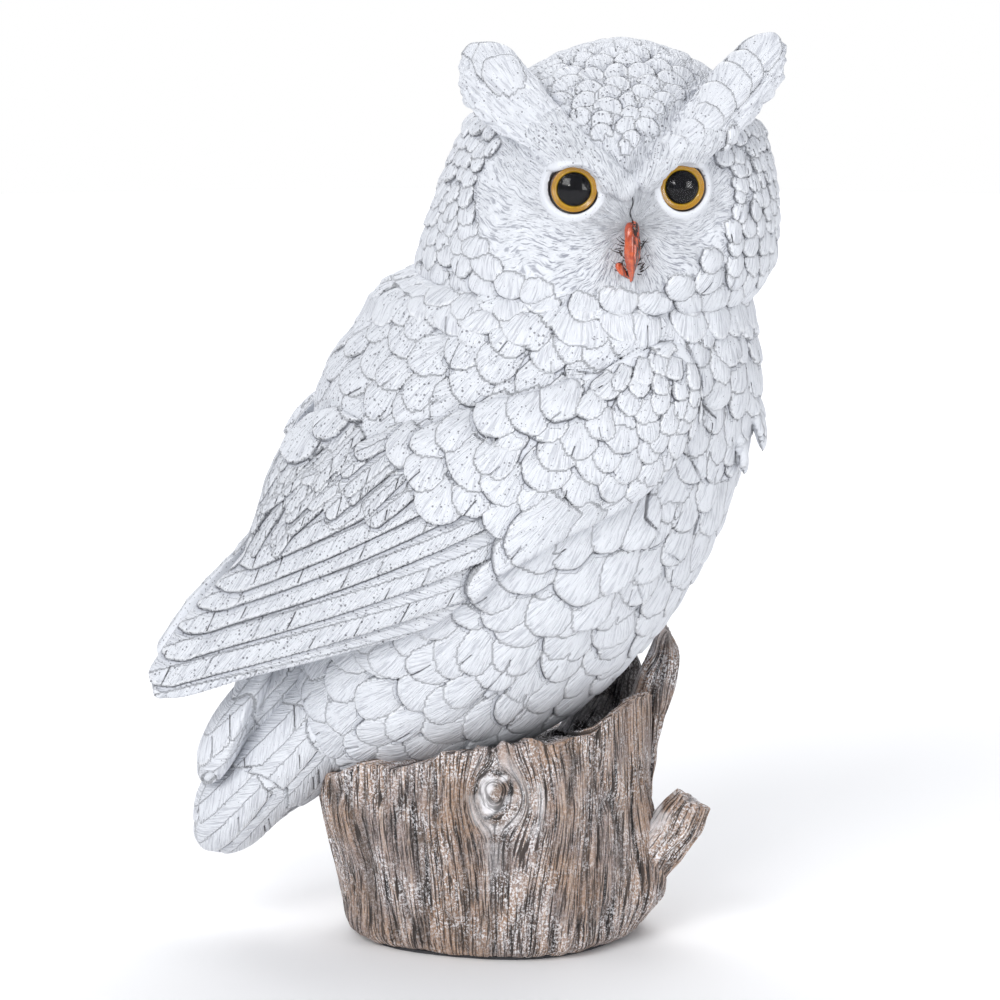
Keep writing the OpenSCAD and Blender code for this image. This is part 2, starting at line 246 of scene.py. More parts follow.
class Skin:
    """An even skin with the relief and the paint guides that are laid over it. height and extra are
    the relief. inner is how far a point is inside its own feather's edge, outer how far outside the
    edge of one that overhangs it. grain is the place across and along a feather, and its number. slit
    is the distance from a crack, and whether one runs there. hair is how strongly the strokes show."""

    def __init__(self, v, quads):
        self.v = v
        self.quads = quads
        self.n = normals_of(v, quads)
        self.order = np.argsort(v[:, 0])
        self.sorted_x = v[self.order, 0]
        count = len(v)
        self.height = np.full(count, BARE)
        self.inner = np.full(count, REACH)
        self.outer = np.full(count, REACH)
        self.grain = np.zeros((count, 3))
        self.slit = np.zeros((count, 2))
        self.extra = np.zeros(count)
        self.flecks = np.full(count, 0.5)
        self.hair = np.zeros(count)
        self.owner = np.zeros(count, int)
        self.stamps = []

    def near(self, centre, radius):
        """The points within a radius of a centre."""
        lo = np.searchsorted(self.sorted_x, centre[0] - radius)
        hi = np.searchsorted(self.sorted_x, centre[0] + radius)
        idx = self.order[lo:hi]
        d = self.v[idx] - centre
        return idx[(d * d).sum(1) < radius * radius]

    def stamp(self, root, flow, normal, length, width, lift, tip=0.5, bend=0.0, tilt=0.0, vane=False,
              base=0.0, ragged=0.35, split=0.3, puff=0.3, fade=0.0, facing=0.15, depth=None, seed=None):
        """Lays one feather. It rises from its root to its tip, and the higher feather shows. tip is how
        long its rounding is, in widths. bend bows it and tilt lifts one side. ragged roughens its edge,
        split cracks it, puff rounds it and fade sinks its root. It shows where the skin faces its
        normal by more than facing and lies within depth of it."""
        flow = unit(flow - (flow @ normal) * normal)
        across_dir = np.cross(normal, flow)
        seed = RNG.random() * 100 if seed is None else seed
        idx = self.near(root + flow * length / 2, math.hypot(length / 2, width / 2) + REACH + 1)
        p = self.v[idx] - root
        deep = np.abs(p @ normal) < (depth or 0.3 * length + 4)
        keep = deep & (self.n[idx] @ normal > facing)
        idx, p = idx[keep], p[keep]
        if len(idx) == 0:
            return
        # u runs down the feather, w across it, d in from its edge, and h is its relief
        u = p @ flow
        w = p @ across_dir - bend * np.maximum(u, 0) ** 2 / length
        half = width / 2 * (0.72 + 0.28 * ease(0, 0.6 * length, u))
        reach = tip * width
        past = np.maximum(u - (length - reach), 0) * (width / 2) / reach
        spread = np.arctan2(w, past + 0.3 * width)
        d = half - np.hypot(past, w)
        d -= ragged * (0.6 * np.sin(spread * 5 + seed) + 0.25 * np.sin(spread * 13 + seed * 3))
        d = np.where(u < 0, BARE, d)
        h = base + lift * np.clip(u / length, 0, 1) + tilt * w / half
        h -= fade * ease(0.45 * length, 0, u)
        h -= puff * lift * np.clip(1 - d / (width / 2), 0, 1) ** 2
        h -= 0.3 * lift * np.clip(1 - d / 0.9, 0, 1) ** 2
        if vane:
            across = u * 0.8 - np.abs(w) * 1.25 + 7 * (w < 0)
        else:
            across = np.arctan2(w, u + 0.45 * length) * length * 1.15
        slit = self.cracks(u, w, length, width, seed, split, vane)
        h -= 0.45 * min(lift, 1.4) * slit[:, 1] * bell(slit[:, 0], 0.4)
        best = (d > 0) & (h > self.height[idx])
        at = idx[best]
        self.height[at] = h[best]
        self.inner[at] = np.minimum(d[best], REACH)
        self.grain[at] = np.stack([across, u, np.full(len(u), seed)], 1)[best]
        self.slit[at] = slit[best]
        self.hair[at] = 0
        self.owner[at] = len(self.stamps) + 1
        rim = (d <= 0) & (d > -REACH)
        self.stamps.append((idx[rim], -d[rim], h[rim]))

    def cracks(self, u, w, length, width, seed, split, vane):
        """Short cracks where the barbs part: (distance from the crack, 1 where it runs). A long
        feather's cracks slant across it, and a round one's run in from its tip."""
        slit = np.zeros((len(u), 2))
        if vane:
            count = int(split * length / 9)
            for k in range(count):
                start = length * ((k + (seed * (3.7 + k)) % 1) / count)
                line = (u - start - 0.9 * w - 0.03 * w * w) * 0.75
                top = width * (0.3 * ((seed * (1.3 + k)) % 1) - 0.1)
                cut = (np.abs(line) < REACH) & (w > top) & (w < 0.44 * width)
                slit[cut, 0] = line[cut]
                slit[cut, 1] = 1
        elif (seed * 7.31) % 1 < split:
            lean = (seed * 5.17) % 1 * 0.7 - 0.35
            line = w - width * ((seed * 2.93) % 1 * 0.6 - 0.3) - lean * (u - length)
            cut = (u > length * (0.55 + 0.2 * ((seed * 9.7) % 1))) & (np.abs(line) < REACH)
            slit[:, 0] = line
            slit[:, 1] = cut
        return slit

    def settle(self):
        """After the last stamp: how far each point lies outside the feather that overhangs it."""
        for idx, d, h in self.stamps:
            over = h > self.height[idx] + 0.03
            at = idx[over]
            self.outer[at] = np.minimum(self.outer[at], d[over])
        self.stamps = []
        self.height[self.height < BARE + 1] = 0
        # The strokes are weaker at a seam, where they turn from one feather's way to another's
        owners = self.owner[self.quads]
        seam = owners.min(1) != owners.max(1)
        self.hair[self.quads[seam].ravel()] = -0.3

    def sink(self, keep):
        """Lowers the relief to the part of it that keep says, as where a casting meets another."""
        self.extra = self.extra - self.height * (1 - keep)

    def build(self, name, nodes, slot, materials, also=()):
        """Moves the skin out by its relief and makes the piece. also is more solids, which get the
        second material."""
        moved = self.v + self.n * (self.height + self.extra)[:, None]
        edge = np.where(self.outer < self.inner, -self.outer, self.inner)
        window = (np.abs(edge) < REACH * 0.9).astype(float)
        pad = np.zeros((sum(len(v) for v, _ in also), 3))
        me = add_piece(name, [(moved, self.quads), *also], nodes, slot, materials,
                       edge=np.concatenate([np.stack([edge, window, self.flecks], 1), pad]),
                       grain=np.concatenate([self.grain, pad]),
                       gap=np.concatenate([np.column_stack([self.slit, self.hair]), pad]))
        second = np.arange(len(me.polygons)) >= len(self.quads)
        me.polygons.foreach_set("material_index", second.astype(int))


def graded(places, sizes, low=0, span=1):
    """Reads a size off at a place, which is measured from low in spans."""
    return lambda p: float(np.interp((p - low) / span, places, sizes))


def rows_of(skin, potential, angle, mask, start, stop, pitch, width):
    """Picks staggered feather roots, row by row down the potential: (vertex, row pitch)."""
    picks = []
    p = start
    odd = False
    while p < stop:
        step = pitch(p)
        band = np.flatnonzero(mask & (np.abs(potential - p) < 0.5))
        band = band[np.argsort(angle[band])]
        last = None
        need = 0
        for i in band:
            if last is None:
                last = skin.v[i]
                need = width[i] * (0.5 if odd else 0.05)
            if np.linalg.norm(skin.v[i] - last) >= need:
                picks.append((i, step))
                last = skin.v[i]
                need = width[i] * RNG.uniform(0.74, 0.98)
        p += step * RNG.uniform(0.9, 1.1)
        odd = not odd
    return picks


# ---- Materials ----

class Paint:
    """A short way to wire a procedural material. place is the object coordinates in millimetres."""

    def __init__(self, name):
        self.material = bpy.data.materials.new(name)
        self.material.use_nodes = True
        self.tree = self.material.node_tree
        self.shader = self.tree.nodes["Principled BSDF"]
        inputs = {0: self.node("ShaderNodeTexCoord").outputs["Object"], "Scale": 1 / MM}
        self.place = self.node("ShaderNodeVectorMath", inputs, operation="SCALE").outputs[0]

    def link(self, source, target):
        """Feeds an input from a socket, or sets it to a number or a colour."""
        if isinstance(source, bpy.types.NodeSocket):
            self.tree.links.new(source, target)
        else:
            target.default_value = (*source, 1) if isinstance(source, tuple) else source

    def node(self, kind, inputs=(), **settings):
        n = self.tree.nodes.new(kind)
        for key, value in settings.items():
            setattr(n, key, value)
        for key, value in dict(inputs).items():
            self.link(value, n.inputs[key])
        return n

    def math(self, operation, a, b=0.0):
        return self.node("ShaderNodeMath", {0: a, 1: b}, operation=operation).outputs[0]

    def times(self, a, b):
        return self.math("MULTIPLY", a, b)

    def ramp(self, value, a, b, low=0.0, high=1.0):
        """low below a, high above b, smooth between."""
        inputs = enumerate((value, a, b, low, high))
        return self.node("ShaderNodeMapRange", inputs, interpolation_type="SMOOTHSTEP").outputs[0]

    def attribute(self, name):
        a = self.node("ShaderNodeAttribute", attribute_name=name)
        return self.node("ShaderNodeSeparateXYZ", {0: a.outputs["Vector"]}).outputs

    def vector(self, x, y, z):
        return self.node("ShaderNodeCombineXYZ", enumerate((x, y, z))).outputs[0]

    def noise(self, vector, scale, detail=2.0, rough=0.55):
        inputs = {"Vector": vector, "Scale": scale, "Detail": detail, "Roughness": rough}
        return self.node("ShaderNodeTexNoise", inputs).outputs["Fac"]

    def cells(self, vector, scale):
        """Distance to the nearest cell centre, and the cell's random number."""
        n = self.node("ShaderNodeTexVoronoi", {"Vector": vector, "Scale": scale})
        s = self.node("ShaderNodeSeparateColor", {0: n.outputs["Color"]})
        return n.outputs["Distance"], s.outputs[0]

    def mix(self, factor, a, b):
        return self.node("ShaderNodeMix", {0: factor, 6: a, 7: b}, data_type="RGBA").outputs[2]

    def bump(self, height, depth, normal=None):
        n = self.node("ShaderNodeBump", {"Height": height, "Distance": depth * MM, "Strength": 1.0})
        if normal is not None:
            self.link(normal, n.inputs["Normal"])
        return n.outputs["Normal"]

    def finish(self, colour, guide, low, high, normal=None):
        """Wires the shader. The roughness goes from low to high with the guide."""
        self.link(colour, self.shader.inputs["Base Color"])
        self.link(self.ramp(guide, 0.3, 0.7, low, high), self.shader.inputs["Roughness"])
        if normal is not None:
            self.link(normal, self.shader.inputs["Normal"])
        return self.material


def plumage_paint():
    """Cool white paint with dark barb strokes and fine dark flecks. Painted shade darkens the barb
    grooves, the cracks, and a grey-blue band and a thin line below each overhanging feather edge; a
    painted highlight lightens the inside of each edge.
    """
    p = Paint("plumage")
    edge = p.attribute("edge")
    grain = p.attribute("grain")
    gap = p.attribute("gap")
    strand = p.vector(p.times(grain[0], 1.5), p.times(grain[1], 0.13), grain[2])
    barbs = p.noise(strand, 1.0, 2.0, 0.6)
    patch = p.noise(p.place, 0.09, 3.0)
    wander = p.times(p.math("SUBTRACT", p.noise(p.place, 0.8), 0.5), 0.4)
    dist = p.math("ADD", edge[0], wander)
    near = p.ramp(edge[1], 0.35, 0.7)

    def along_edge(a, b, c, d):
        """A stripe along the feathers' edges: it starts from a to b and ends from c to d."""
        return p.times(near, p.times(p.ramp(dist, a, b), p.ramp(dist, d, c)))

    def dots(scale, least, size, soft):
        distance, pick = p.cells(p.place, scale)
        radius = p.times(p.ramp(pick, least, 1.0), p.times(edge[2], size))
        return p.ramp(p.math("SUBTRACT", distance, radius), soft, -0.06)

    # Painted shade: line is a thin painted shadow line just below the edge of an overhanging feather, and
    # shade a wider grey-blue band of painted shade below it
    line = along_edge(-0.50, -0.10, -0.04, 0.12)
    shade = along_edge(-1.6, -0.1, -0.05, 0.10)
    # Painted highlight: rim lightens a band just inside each feather's edge, where the raised tip catches
    # the light
    rim = along_edge(0.05, 0.35, 0.5, 1.3)
    # Painted shade: crack blackens the narrow cracks and crevices, where shade falls in the real grooves
    crack = p.times(p.ramp(gap[1], 0.4, 0.8), p.ramp(p.math("ABSOLUTE", gap[0]), 0.3, 0.08))
    # Darker along the low lines of the barbs: partly the plumage's painted strokes, partly painted shade
    # in the barb grooves
    barb_strokes_and_shade = p.ramp(barbs, 0.49, 0.36)
    fleck = dots(0.75, 0.1, 0.33, 0.02)
    fine = dots(1.3, 0.45, 0.36, 0.03)
    colour = p.mix(p.times(patch, 0.5), (0.735, 0.755, 0.795), (0.63, 0.655, 0.705))
    # The painted highlight just inside each feather's edge
    colour = p.mix(p.times(rim, 0.5), colour, (0.80, 0.815, 0.84))
    # The barb strokes and the painted shade in their grooves, stronger where the strokes are painted
    # heavily
    deep = p.math("MAXIMUM", p.math("ADD", 0.36, p.times(gap[2], 0.5)), 0.0)
    colour = p.mix(p.times(barb_strokes_and_shade, deep), colour, (0.24, 0.25, 0.30))
    # Painted shade below each overhanging feather edge, then the painted shadow line along it
    colour = p.mix(p.times(shade, 0.5), colour, (0.33, 0.35, 0.41))
    broken = p.ramp(p.noise(p.place, 0.16, 3.0), 0.42, 0.66, 0.22, 0.72)
    colour = p.mix(p.times(line, broken), colour, (0.11, 0.115, 0.14))
    # Painted shade in the cracks and crevices, broken up by noise
    black = p.ramp(p.noise(p.place, 0.11), 0.38, 0.60, 0.25, 0.9)
    colour = p.mix(p.times(crack, black), colour, (0.05, 0.05, 0.06))
    colour = p.mix(p.times(fleck, 0.75), colour, (0.10, 0.10, 0.12))
    colour = p.mix(p.times(fine, 0.6), colour, (0.16, 0.16, 0.18))
    step = p.ramp(p.times(near, dist), -0.3, 0.12)
    normal = p.bump(p.times(barbs, p.ramp(gap[2], -0.7, -0.05)), 0.8)
    normal = p.bump(step, 0.35, normal)
    normal = p.bump(p.math("SUBTRACT", 1.0, crack), 0.3, normal)
    return p.finish(colour, barbs, 0.66, 0.5, normal)


def bark_paint():
    """Brown paint with black grooves, painted shade blackening the hollow, and a dry-brushed white frost.
    The grain runs with the relief.
    """
    p = Paint("bark")
    grain = p.attribute("grain")
    edge = p.attribute("edge")
    strand = p.vector(p.times(grain[0], 0.5), p.times(grain[1], 0.028), grain[2])
    fibre = p.noise(strand, 1.0, 5.0, 0.7)
    thin = p.vector(p.times(grain[0], 1.5), p.times(grain[1], 0.065), grain[2])
    hair = p.noise(thin, 1.0, 3.0, 0.7)
    patch = p.noise(p.place, 0.045, 3.0)
    colour = p.mix(p.ramp(patch, 0.38, 0.62), (0.38, 0.24, 0.16), (0.32, 0.245, 0.22))
    colour = p.mix(p.times(p.ramp(fibre, 0.48, 0.64), 0.75), colour, (0.59, 0.43, 0.335))
    colour = p.mix(p.times(p.ramp(hair, 0.52, 0.43), 0.88), colour, (0.020, 0.016, 0.015))
    colour = p.mix(p.ramp(fibre, 0.455, 0.37), colour, (0.012, 0.010, 0.010))
    # The first guide blackens the hollow and the foot of the inner splinter down in it, as painted shade,
    # and the cracks and the knot's rings
    colour = p.mix(edge[0], colour, (0.010, 0.009, 0.009))
    grit = p.noise(p.place, 1.25, 3.0, 0.8)
    frost = p.times(p.ramp(grit, 0.48, 0.57), p.ramp(hair, 0.42, 0.5))
    area = p.ramp(p.noise(p.place, 0.06, 3.0), 0.42, 0.56, 0.3, 1.0)
    frost = p.times(frost, p.times(area, edge[2]))
    colour = p.mix(frost, colour, (0.92, 0.90, 0.92))
    pale = p.math("MINIMUM", p.times(edge[1], p.ramp(hair, 0.36, 0.52, 0.35, 1.0)), 1.0)
    colour = p.mix(pale, colour, (0.84, 0.82, 0.84))
    normal = p.bump(fibre, 1.0)
    normal = p.bump(hair, 0.8, normal)
    normal = p.bump(grit, 0.25, normal)
    return p.finish(colour, fibre, 0.8, 0.55, normal)


def gloss_paint(name, base, second, scale, roughness, coat, shine=0.5):
    """Glossy paint in two close shades, a little uneven."""
    p = Paint(name)
    blotch = p.noise(p.place, scale, 3.0)
    colour = p.mix(p.ramp(blotch, 0.4, 0.62), base, second)
    p.shader.inputs["Coat Weight"].default_value = coat
    p.shader.inputs["Coat Roughness"].default_value = 0.05
    p.shader.inputs["Specular IOR Level"].default_value = shine
    fine = p.noise(p.place, scale * 4)
    return p.finish(colour, fine, roughness, roughness + 0.08, p.bump(blotch, 0.05))


def plain_paint(name, base, second, scale, roughness, depth=0.1, metal=0.0):
    """Matt stuff in two close shades with a fine tooth."""
    p = Paint(name)
    speck = p.noise(p.place, scale, 4.0, 0.7)
    colour = p.mix(p.ramp(speck, 0.35, 0.65), base, second)
    p.shader.inputs["Metallic"].default_value = metal
    return p.finish(colour, speck, roughness, roughness + 0.1, p.bump(speck, depth))


# ---- The owl's shape, as far as the plumage needs it ----

NEAR = np.array([0.0, -1.0, 0.0])  # towards the viewer's side
BROW = np.array([41.8, -50.0, 250.0])  # the point between the eyes, over the beak
FACE_TURN = math.radians(8.5)
FACE_RIGHT = np.array([math.cos(FACE_TURN), math.sin(FACE_TURN), 0])
FACE_OUT = np.array([math.sin(FACE_TURN), -math.cos(FACE_TURN), 0])


def box_centre(node):
    low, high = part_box(node)
    return np.array((low + high) / 2) / MM


EYES = [box_centre("right_eye_ring"), box_centre("left_eye_ring")]


EYE_SPLAY = math.radians(5)  # how far each eye looks away from the way the face looks
LID_R = 9.6


def eye_axis(side):
    turn = FACE_TURN + EYE_SPLAY * side
    return np.array([math.sin(turn), -math.cos(turn), 0])


def leaning(v, lean, front, grade, low, high):
    """The way the feathers hang at the points v: lean degrees back from straight down at front, and
    more and more so towards the tail, within low and high."""
    lean = np.radians(np.clip(lean + (front - v[:, 0]) * grade, low, high))
    return np.stack([-np.sin(lean), np.zeros(len(v)), -np.cos(lean)], 1)


def lay(skin, picks, flow, width, lift, spread=2.15, twin=None, over=0.0, tilt_up=0.0, **style):
    """Stamps a feather at each pick, a little varied. A twin skin gets the same feathers, higher up."""
    for i, step in picks:
        turn = RNG.normal(0, 0.12)
        across = np.cross(skin.n[i], flow[i])
        heading = flow[i] * math.cos(turn) + across * math.sin(turn)
        root = skin.v[i] + heading * step * RNG.uniform(-0.18, 0.18)
        size = width[i] * math.exp(RNG.normal(0, 0.13))
        length = step * spread * RNG.uniform(0.92, 1.12)
        rise = lift * RNG.uniform(0.8, 1.2)
        lean = tilt_up + RNG.normal(0, 0.15) * lift
        shape = dict(style, bend=RNG.normal(0, 0.10), tilt=lean, seed=RNG.random() * 100)
        skin.stamp(root, heading, skin.n[i], length, size, rise, **shape)
        if twin is not None:
            shape["base"] = shape.get("base", 0) + over
            twin.stamp(root, heading, skin.n[i], length, size, rise, **shape)


def fill_gaps(skin, bare, flow, size):
    """Lays low feathers wherever the rows have left part of the skin bare."""
    todo = np.flatnonzero(bare & (skin.owner == 0))
    while len(todo):
        i = todo[0]
        root = skin.v[i] - flow[i] * size[i] * 0.6
        skin.stamp(root, flow[i], skin.n[i], size[i] * 1.2, size[i], lift=0.8, base=-0.8,
                   seed=float(i % 97))
        clear = lengths(skin.v[todo] - skin.v[i]) > size[i] * 0.45
        todo = todo[clear & (skin.owner[todo] == 0)]


# Deep crevices between the wing and the chest and down the breast: half width, points across and up
CREVICES = [(0.8, [(56, 211), (64, 191), (64, 183), (70, 176)]),
            (0.9, [(59, 172), (60, 167), (65, 156)]),
            (0.9, [(49.5, 160), (47, 153), (46, 147.5), (51.5, 141)]),
            (0.8, [(52.5, 135), (58, 130)]),
            (0.9, [(44, 126), (46, 118)]),
            (0.45, [(21, 196), (32, 194), (40, 199.5), (47, 203.5), (56, 203)])]

# Chest feathers whose tips hang clear: where the tip is across and up, width and length
HANGING = [(86, 162, 12, 20), (79.5, 156, 11, 19), (75.5, 149, 11, 19), (71, 140, 11, 18),
           (50.5, 113, 12, 16)]


def distance_to_line(p, points):
    """How far the points p lie from a broken line, in its own plane."""
    best = np.full(len(p), 1e9)
    for a, b in zip(np.array(points[:-1], float), np.array(points[1:], float)):
        t = np.clip((p - a) @ (b - a) / ((b - a) @ (b - a)), 0, 1)
        best = np.minimum(best, lengths(p - a - t[:, None] * (b - a)))
    return best


def hanging_feathers(v):
    """Each hanging feather's root on the surface, its tip, its width and the way it faces."""
    out = np.array([math.cos(math.radians(9)), -math.sin(math.radians(9)), 0])
    for x, z, width, length in HANGING:
        root = v[np.argmax(v @ out - 3 * np.abs(v[:, 2] - z - 0.9 * length))] - 1.8 * out
        yield root, np.array([x, root[1], z]), width, out


def leaf_part(root, tip, width, out):
    """A thin leaf from its root to its tip."""
    axis = unit(tip - root)
    side = unit(np.cross(axis, out))
    face = np.cross(side, axis)
    ball, f = ellipsoid_part((0, 0, 0), (width / 2, 1.5, np.linalg.norm(tip - root) / 2))
    return ball[:, :1] * side + ball[:, 1:2] * face + ball[:, 2:] * axis + (root + tip) / 2, f


def cut_crevices(skin):
    """Cuts the crevices where the skin faces the front, narrower towards their ends."""
    flat = skin.v[:, [0, 2]]
    facing = (skin.v[:, 1] < -18) & (skin.n[:, 1] < -0.25)
    for wide, line in CREVICES:
        reach = distance_to_line(flat, line)
        ends = np.min([lengths(flat - p) for p in (line[0], line[-1])], axis=0)
        near = (reach < 1.5) & facing
        width = 0.2 + wide * ease(0, 5, ends) * (0.7 + 0.4 * noise(skin.v, 5, 19))
        # The slit guide makes the plumage paint blacken each crevice: painted shade
        skin.slit[near] = np.stack([0.36 * reach / width, reach * 0 + 1], 1)[near]
        skin.extra -= near * 0.9 * bell(reach, 0.7 * width)


def body_skin(wing):
    fillers = [ellipsoid_part((30, 8, 218), (24, 22, 7)), ellipsoid_part((-10, 0, 72), (16, 24, 11.5))]
    body = cad_part("owl_body")
    hanging = list(hanging_feathers(body[0]))
    leaves = [leaf_part(*feather) for feather in hanging]
    skin = Skin(*remesh("body", [body] + fillers + leaves, voxel=0.74))
    v = skin.v
    x, y, z = v.T
    potential = -(0.45 * x + 0.89 * z) + 3.5 * noise(v, 26, 3)
    angle = np.arctan2(y, 0.89 * (x - 5) - 0.45 * (z - 150))
    low, span = potential.min(), np.ptp(potential)
    along = (potential - low) / span
    width = np.interp(along, [0, 0.1, 0.25, 0.5, 0.8, 1], [9, 12, 16, 17, 17, 13])
    width = width * (1 + 0.22 * noise(v, 24, 5))
    flow = leaning(v, 14, 66, 0.42, 8, 56)
    clear = z < 226
    for root, tip, _, _ in hanging:
        clear &= lengths(v - 0.35 * root - 0.65 * tip) > 8
    pitch = graded([0, 0.12, 0.35, 1], [5.8, 7, 8.8, 9.8], low, span)
    picks = rows_of(skin, potential, angle, clear, low + 2, low + span, pitch, width)
    # The feathers of the mantle, which are above the wing's upper edge, lie over the wing as well
    edge = np.interp(x, [-80, -62, -52, -27, -8, 1, 11, 23, 34, 48],
                     [148, 158, 165, 180, 184, 188, 189, 196, 201, 206])
    on_mantle = (z > edge + 10) & (y < 0) & (x < 48)
    mantle = [pick for pick in picks if on_mantle[pick[0]]]
    rest = [pick for pick in picks if not on_mantle[pick[0]]]
    style = {"ragged": 0.3, "split": 0.4, "puff": 0.4}
    lay(skin, rest, flow, width, lift=2.2, **style)
    lay(skin, mantle, flow, width, lift=2.4, twin=wing, over=3.2, **style)
    flank_feathers(skin, wing)
    for root, tip, size, out in hanging:
        length = np.linalg.norm(tip - root) + 1
        skin.stamp(root, tip - root, out, length, size + 3, lift=1.2, puff=0.3, depth=5, fade=1)
    cut_crevices(skin)
    cut_crevices(wing)
    skin.flecks = np.clip(0.62 + 0.010 * (z - 150) - 0.006 * x, 0.3, 1.0)
    return skin


# The large feathers of the flank, which lie over the lower edge of the wing, and three on the
# shoulder: tip across and up, width, length and how far they lie over what is under them
FLANK = [(26, 108, 17, 22, 0.6), (12, 110, 18, 23, 0.6), (-3, 113, 17, 22, 0.8), (33, 122, 16, 22, 1.0),
         (21, 121, 18, 24, 1.4), (-7, 120, 18, 22, 1.8), (41, 136, 14, 22, 1.6), (2, 127, 24, 24, 2.4),
         (30, 138, 15, 22, 2.2), (17, 134, 17, 25, 2.8), (6, 134, 22, 27, 3.2),
         (-4, 175.5, 14, 15, 2.4), (6, 177, 15, 15, 2.2), (16, 180.5, 13, 14, 2.3)]


def flank_feathers(skin, wing):
    for x, z, width, length, base in FLANK:
        lean = math.radians(34 + 0.25 * (20 - x))
        flow = np.array([-math.sin(lean), 0, -math.cos(lean)])
        root = np.array([x, -58.0, z]) - flow * length
        seed = RNG.random() * 100
        for one, more in ((skin, 0), (wing, 1.6)):
            one.stamp(root, flow, NEAR, length, width, lift=2.6, tip=0.55, base=base + more, ragged=0.5,
                      split=0.3, puff=0.6, facing=0.1, depth=26, seed=seed)


def wing_skin():
    """The near wing, made 2.2 mm thicker on its inner side."""
    v, f = cad_part("right_wing")
    skin = Skin(*remesh("wing", [(v, f), (v + [0, 2.2, 0], f)], voxel=0.64))
    v = skin.v
    x, z = v[:, 0], v[:, 2]
    # Long flight feathers, the lowest first, so that each lies over the one below it
    tips = [(-111, 84), (-114, 90), (-109, 98), (-103, 106), (-97, 113), (-91, 119), (-85, 127)]
    for k, (tip_x, tip_z) in enumerate(tips):
        t = k / 8
        slope = math.radians(18 + 17 * t)
        flow = np.array([-math.cos(slope), 0, -math.sin(slope)])
        length = float(np.interp(k, [0, 2, 8], [128, 129, 68]))
        root = np.array([tip_x, -30.0, tip_z]) - flow * length
        skin.stamp(root, flow, NEAR, length, 12.5 - 3.5 * t, lift=0.5, tip=0.9, tilt=0.75, vane=True,
                   base=0.2 + 0.16 * k, ragged=0.3, split=0.45, puff=0.2, facing=-0.3, depth=90)
    # Short streaky coverts between the flight feathers and the back
    slope = math.radians(33)
    flow = np.tile([-math.cos(slope), 0, -math.sin(slope)], (len(v), 1))
    step = -v @ [math.cos(slope), 0, math.sin(slope)]
    over = v @ [-math.sin(slope), 0, math.cos(slope)]
    low_edge = np.interp(x, [-84, -60, -38, -18, 0], [140, 152, 160, 159, 156])
    streaky = (z > low_edge) & (x < -20) & (skin.n[:, 1] < 0.1)
    start, stop = step[streaky].min(), step[streaky].max()
    picks = rows_of(skin, step, over, streaky, start, stop, lambda p: 11.0, np.full(len(v), 5.6))
    lay(skin, picks, flow, np.full(len(v), 7.0), lift=1.1, spread=2.3, base=1.4, ragged=0.2, split=1.2,
        vane=True, tilt_up=0.45)
    # Coverts in rows, small on the shoulder and large over the flight feathers
    flow = leaning(v, 12, 55, 0.40, 4, 52)
    potential = -(0.42 * x + 0.91 * z) + 1.5 * noise(v, 20, 9)
    across = -x * 0.91 + z * 0.42
    floor = np.interp(x, [-34, -18, 0, 12, 28, 44, 60], [172, 163, 156, 157, 158, 160, 164])
    covert = (z > floor) & (skin.n[:, 1] < 0.1) & (x > -34)
    size = np.interp(x * 0.6 + z * 0.5, [60, 85, 105, 118, 128], [15, 15, 14, 9, 6.5])
    low, span = potential[covert].min(), np.ptp(potential[covert])
    pitch = graded([0, 0.3, 0.7, 1], [3.8, 5.0, 7.2, 8.2], low, span)
    picks = rows_of(skin, potential, across, covert, low, low + span, pitch, size)
    skin.height[covert] = 1.7
    small = [pick for pick in picks if size[pick[0]] < 10]
    large = [pick for pick in picks if size[pick[0]] >= 10]
    lay(skin, small, flow, size, lift=0.9, spread=2.0, base=2.4, ragged=0.2, split=0.1, puff=0.4)
    lay(skin, large, flow, size, lift=1.9, spread=2.0, base=2.6, ragged=0.3, split=0.25, puff=0.4)
    skin.flecks = np.clip(0.8 - 0.004 * x, 0.5, 1.0)
    return skin


def neck_part():
    """The top of the body, which the lowest feathers of the head lie down over."""
    v, f = cad_part("owl_body")
    v = v.copy()
    v[v[:, 2] < 196] = [30, 0, 190]
    return v, f


def lowest_to_highest(v):
    """The lowest of the points v and the way from it to the highest."""
    low, high = v[np.argmin(v[:, 2])], v[np.argmax(v[:, 2])]
    return low, unit(high - low)


def middle_line(v, along, stops, reach):
    """The middle of the points v that are within reach of each stop, as a function of along."""
    middles = np.array([v[np.abs(along - s) < reach].mean(0) for s in stops])
    return lambda s: np.stack([np.interp(s, stops, middles[:, k]) for k in range(3)], -1)


def over_brow(v):
    """How much the head's skin covers a tuft at the points v: 1 over the brow, 0 off the tuft, and
    under 0 up the free ear."""
    cover = np.zeros(len(v))
    for node in ("right_brow_tuft", "left_brow_tuft"):
        tuft = cad_part(node)[0]
        low, path = lowest_to_highest(tuft)
        span = (tuft[np.argmax(tuft[:, 2])] - low) @ path
        middle = middle_line(tuft, (tuft - low) @ path, np.linspace(0, span, 12), span / 10)
        along = (v - low) @ path
        off = lengths(v - middle(along))
        outer = np.interp(along / span, [0, 0.5], [7, 12])
        on = ease(0, 3.5, outer - off) * (along > -4) * (along < span + 4)
        cover += on * np.interp(along / span, [0, 0.42, 0.62], [1, 1, -1])
    return cover


def clear_of_eye(v, eye, axis, radius):
    """Pushes the points that stand in front of an eye out to a radius round its axis."""
    off = v - eye
    ahead = off @ axis
    off = off - ahead[:, None] * axis
    far = lengths(off)
    push = np.where((ahead > -2) & (ahead < 30), np.clip(radius - far, 0, None), 0)
    return v + unit(off) * push[:, None]


